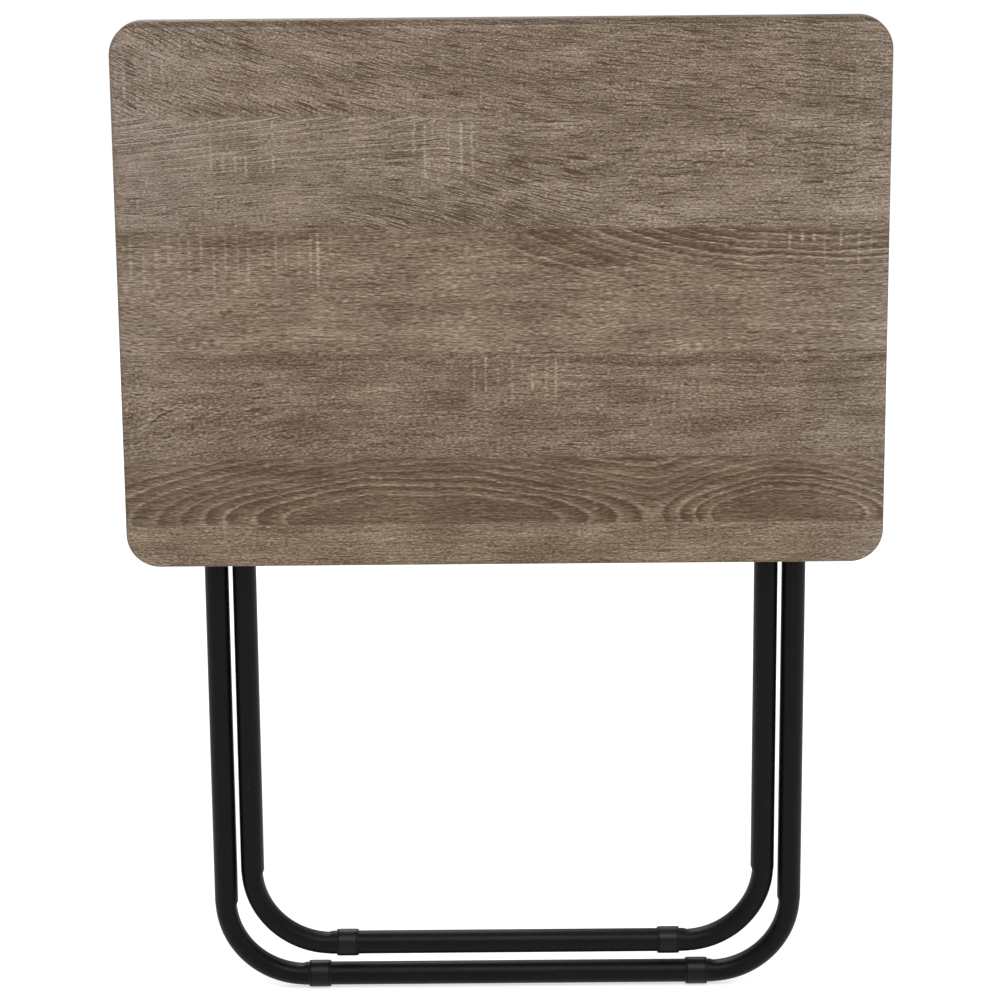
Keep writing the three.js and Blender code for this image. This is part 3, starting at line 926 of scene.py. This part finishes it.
CATCH_BLOCK_WIDTH = 26 * MM
CATCH_BLOCK_EDGE = 0.7 * MM
CATCH_SADDLE = 8.4 * MM       # radius of the seat that the locking bar lies in
CATCH_BACK = 13 * MM          # from the saddle's middle up to the end of the block
CATCH_PAD_EDGE = 2 * MM
CATCH_PAD_ROUNDING = 1 * MM
CATCH_LIP = 2.5 * MM
CATCH_FLANGE = (54 * MM, 18 * MM, 2.6 * MM)
CATCH_FLANGE_CORNER = 4 * MM
CATCH_FLANGE_EDGE = 0.6 * MM


def bar_catch(node):
    """A moulded block with a seat for the locking bar, on a flange that the screws go through."""
    low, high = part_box(node)
    centre_x = (low.x + high.x) / 2
    saddle_z = high.z - CATCH_BACK
    bm = bmesh.new()

    width, height, thickness = CATCH_FLANGE
    corners = rectangle(width / 2, height / 2)
    flange = outlined(fillet(corners, CATCH_FLANGE_CORNER, steps=6, closed=True))
    levels = rim_levels(thickness, CATCH_FLANGE_EDGE, steps=3, support=SMALL_SUPPORT)
    plate(bm, flange, levels, Vector((centre_x, low.y, saddle_z)), RIGHT, UP, BACK)

    # the block's outline: away from the top, and up
    wall = high.y - low.y
    axis = middle("locking_bar").y - low.y
    below = low.z - saddle_z
    pad = axis - CATCH_SADDLE
    outline = rounded_profile([
        (0, below, 0),
        (wall, below, CATCH_LIP),
        (wall, -CATCH_SADDLE, CATCH_LIP / 2),
        (pad, -CATCH_SADDLE, CATCH_SADDLE),
        (pad, CATCH_BACK - CATCH_PAD_EDGE, CATCH_PAD_ROUNDING),
        (pad - CATCH_PAD_EDGE, CATCH_BACK, CATCH_PAD_ROUNDING),
        (0, CATCH_BACK, 0),
    ], steps=8, closed=True)
    levels = rim_levels(CATCH_BLOCK_WIDTH, CATCH_BLOCK_EDGE, steps=3, support=SMALL_SUPPORT)
    corner = Vector((centre_x - CATCH_BLOCK_WIDTH / 2, low.y, saddle_z))
    plate(bm, outlined(outline), levels, corner, BACK, UP, RIGHT)
    make_piece(node, bm, PLASTIC)


# ---------------------------------------------------------------- steel and nylon pieces

STEEL_EDGE = 0.3 * MM
BRACKET_PLATE = 1.5 * MM
BRACKET_CORNER = 4 * MM
EAR_SPAN = 18.4 * MM          # between the two ears' inner faces
WELD = 1.4 * MM
WELD_INSET = 0.5 * MM         # from each end of an ear's foot


def hinge_bracket(node, hand):
    """A screw plate with two round-ended ears, each welded on along its outer face."""
    low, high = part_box(node)
    centre = middle(node)
    pin = middle(f"hinge_pin_{hand}")
    bm = bmesh.new()

    base = rectangle((high.x - low.x) / 2, (high.z - low.z) / 2)
    levels = rim_levels(BRACKET_PLATE, STEEL_EDGE, steps=2, support=SMALL_SUPPORT)
    outline = outlined(fillet(base, BRACKET_CORNER, steps=6, closed=True))
    plate(bm, outline, levels, Vector((centre.x, low.y, pin.z)), RIGHT, UP, BACK)

    ear_radius = high.y - pin.y
    ear_height = high.y - low.y
    ear = outlined(rounded_profile([
        (0, -ear_radius, 0),
        (ear_height, -ear_radius, ear_radius),
        (ear_height, ear_radius, ear_radius),
        (0, ear_radius, 0),
    ], steps=14, closed=True))
    weld = outlined([(0, 0), (WELD, 0), (0, WELD)])
    weld_levels = [(0.0, WELD_INSET), (0.0, 2 * ear_radius - WELD_INSET)]
    for side in (-1, 1):
        inner = centre.x + side * EAR_SPAN / 2
        outer = inner + side * BRACKET_PLATE
        outward = RIGHT * side
        plate(bm, ear, levels, Vector((inner, low.y, pin.z)), BACK, UP, outward)
        foot_of_ear = Vector((outer, low.y + BRACKET_PLATE, pin.z - ear_radius))
        plate(bm, weld, weld_levels, foot_of_ear, outward, BACK, UP)
    make_piece(node, bm, STEEL)


def length_and_radius(node):
    """Of a turned node that lies along X."""
    low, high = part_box(node)
    return high.x - low.x, (high.z - low.z) / 2


def turned_along_x(node, side, profile, material, closed=False):
    """A turned piece whose profile starts at its end nearest the middle of the table."""
    low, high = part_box(node)
    start = low.x if side > 0 else high.x
    bm = bmesh.new()
    turn(bm, profile, on_axis(node, start), RIGHT * side, closed=closed)
    make_piece(node, bm, material)


# In the heads below, CROWN is the radius of the flat end as a share of the head's radius, and
# DOME is the rounding round it. SHANK is a radius, and HEAD and TAIL are lengths.
PIN_SHANK = 3 * MM
PIN_HEAD = 1.8 * MM
PIN_CROWN = 0.8
PIN_DOME = 1.2 * MM
PIN_TAIL = 1.2 * MM
PIN_TAIL_RADIUS = 4.4 * MM
PIN_TAIL_DOME = 0.8 * MM
PIN_TAIL_EDGE = 0.2 * MM


def hinge_pin(node, side):
    length, radius = length_and_radius(node)
    profile = rounded_profile([
        (0, 0, 0),
        (0, PIN_TAIL_RADIUS, PIN_TAIL_DOME),
        (PIN_TAIL, PIN_TAIL_RADIUS, PIN_TAIL_EDGE),
        (PIN_TAIL, PIN_SHANK, 0),
        (length - PIN_HEAD, PIN_SHANK, 0),
        (length - PIN_HEAD, radius, STEEL_EDGE),
        (length, radius * PIN_CROWN, PIN_DOME),
        (length, 0, 0),
    ])
    turned_along_x(node, side, profile, STEEL)


RIVET_SHANK = 3 * MM
RIVET_HEAD = 1.8 * MM
RIVET_CROWN = 0.72
RIVET_DOME = 2 * MM
WASHER_BORE = 3.35 * MM
WASHER_EDGE = 0.3 * MM


def pivot_rivet(node, side):
    """The half of the rivet that has its head on the outer leg."""
    length, radius = length_and_radius(node)
    profile = rounded_profile([
        (0, 0, 0),
        (0, RIVET_SHANK, STEEL_EDGE),
        (length - RIVET_HEAD, RIVET_SHANK, 0),
        (length - RIVET_HEAD, radius, STEEL_EDGE),
        (length, radius * RIVET_CROWN, RIVET_DOME),
        (length, 0, 0),
    ])
    turned_along_x(node, side, profile, STEEL)


def pivot_tail(node, side):
    """The half of the rivet that has its head on the inner leg."""
    length, radius = length_and_radius(node)
    profile = rounded_profile([
        (0, 0, 0),
        (0, radius * RIVET_CROWN, RIVET_DOME),
        (RIVET_HEAD, radius, STEEL_EDGE),
        (RIVET_HEAD, RIVET_SHANK, 0),
        (length, RIVET_SHANK, STEEL_EDGE),
        (length, 0, 0),
    ])
    turned_along_x(node, side, profile, STEEL)


def pivot_washer(node, side):
    length, radius = length_and_radius(node)
    profile = rounded_profile([
        (0, WASHER_BORE, 0),
        (0, radius, WASHER_EDGE),
        (length, radius, WASHER_EDGE),
        (length, WASHER_BORE, 0),
    ])
    turned_along_x(node, side, profile, NYLON, closed=True)


def hexagon(half_width):
    """The outline of a hexagonal socket, as a radius for each angle."""
    return lambda angle: half_width / cos((angle + pi / 6) % (pi / 3) - pi / 6)


ALMOST_ZERO = 1e-6


def cross(reach, half_width):
    """The outline of a cross-shaped recess, as a radius for each angle."""
    def radius(angle):
        from_arm = abs((angle + pi / 4) % (pi / 2) - pi / 4)
        return min(reach / cos(from_arm), half_width / max(sin(from_arm), ALMOST_ZERO))
    return radius


BOLT_SHANK = 2.65 * MM
BOLT_HEAD = 1.4 * MM
BOLT_CROWN = 0.68
BOLT_DOME = 1 * MM
SOCKET_HALF_WIDTH = 1.75 * MM
SOCKET_DEPTH = 1.0 * MM
SOCKET_MOUTH = 1.35           # radius of the crown's hole, in half widths of the socket


def bar_bolt(node, side):
    """A button-head bolt with a hexagonal socket."""
    length, radius = length_and_radius(node)
    outside = rounded_profile([
        (0, 0, 0),
        (0, BOLT_SHANK, SOFT_EDGE),
        (length - BOLT_HEAD, BOLT_SHANK, 0),
        (length - BOLT_HEAD, radius, STEEL_EDGE),
        (length, radius * BOLT_CROWN, BOLT_DOME),
        (length, SOCKET_HALF_WIDTH * SOCKET_MOUTH, 0),
    ])
    socket = hexagon(SOCKET_HALF_WIDTH)
    bottom = length - SOCKET_DEPTH
    recess = [(length, socket), (bottom, socket), (bottom, 0)]
    turned_along_x(node, side, outside + recess, STEEL)


SCREW_SHANK = 1.75 * MM
SCREW_POINT = 3 * MM
SCREW_HEAD = 2 * MM
SCREW_CROWN = 0.85
SCREW_DOME = 0.9 * MM
CROSS_REACH = 1.9 * MM
CROSS_HALF_WIDTH = 0.5 * MM
CROSS_DEPTH = 1.1 * MM
CROSS_MOUTH = 1.15            # radius of the crown's hole, in reaches of the cross
CROSS_TAPER = (0.6, 0.8)      # the cross at the bottom: its reach and its width, as shares


def wood_screw(node):
    """A pan-head screw with a cross recess, along Y."""
    low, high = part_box(node)
    length = high.y - low.y
    radius = (high.x - low.x) / 2
    outside = rounded_profile([
        (0, 0, 0),
        (SCREW_POINT, SCREW_SHANK, 0),
        (length - SCREW_HEAD, SCREW_SHANK, 0),
        (length - SCREW_HEAD, radius, SOFT_EDGE),
        (length, radius * SCREW_CROWN, SCREW_DOME),
        (length, CROSS_REACH * CROSS_MOUTH, 0),
    ])
    bottom = length - CROSS_DEPTH
    reach_left, width_left = CROSS_TAPER
    recess = [
        (length, cross(CROSS_REACH, CROSS_HALF_WIDTH)),
        (bottom, cross(CROSS_REACH * reach_left, CROSS_HALF_WIDTH * width_left)),
        (bottom, 0),
    ]
    centre = middle(node)
    bm = bmesh.new()
    turn(bm, outside + recess, Vector((centre.x, low.y, centre.z)), BACK)
    make_piece(node, bm, STEEL)


# ---------------------------------------------------------------- assembly

FLOOR_HALF = 30               # so large that no view shows its edge


def make_floor():
    bm = bmesh.new()
    bm.faces.new([bm.verts.new((x, y, 0)) for x, y in rectangle(FLOOR_HALF, FLOOR_HALF)])
    mesh = bpy.data.meshes.new("floor")
    bm.to_mesh(mesh)
    bm.free()
    mesh.materials.append(pale_floor())
    floor = bpy.data.objects.new("floor", mesh)
    bpy.context.scene.collection.objects.link(floor)


make_floor()
tabletop()
leg("outer_leg_tube")
leg("inner_leg_tube")
locking_bar()

for hand, side in (("left", -1), ("right", 1)):
    for place in ("outer", "inner"):
        foot(f"{place}_foot_{hand}")
        end_plug(f"{place}_end_plug_{hand}")
        wood_screw(f"bracket_screw_{hand}_{place}")
        wood_screw(f"catch_screw_{hand}_{place}")
    hinge_bracket(f"hinge_bracket_{hand}", hand)
    hinge_pin(f"hinge_pin_{hand}", side)
    bar_catch(f"bar_catch_{hand}")
    pivot_rivet(f"pivot_rivet_{hand}", side)
    pivot_tail(f"pivot_tail_{hand}", side)
    pivot_washer(f"pivot_washer_{hand}", side)
    bar_bolt(f"bar_bolt_{hand}", side)
    frame["nodes"][f"bar_insert_{hand}"].material_slots[0].material = PLASTIC
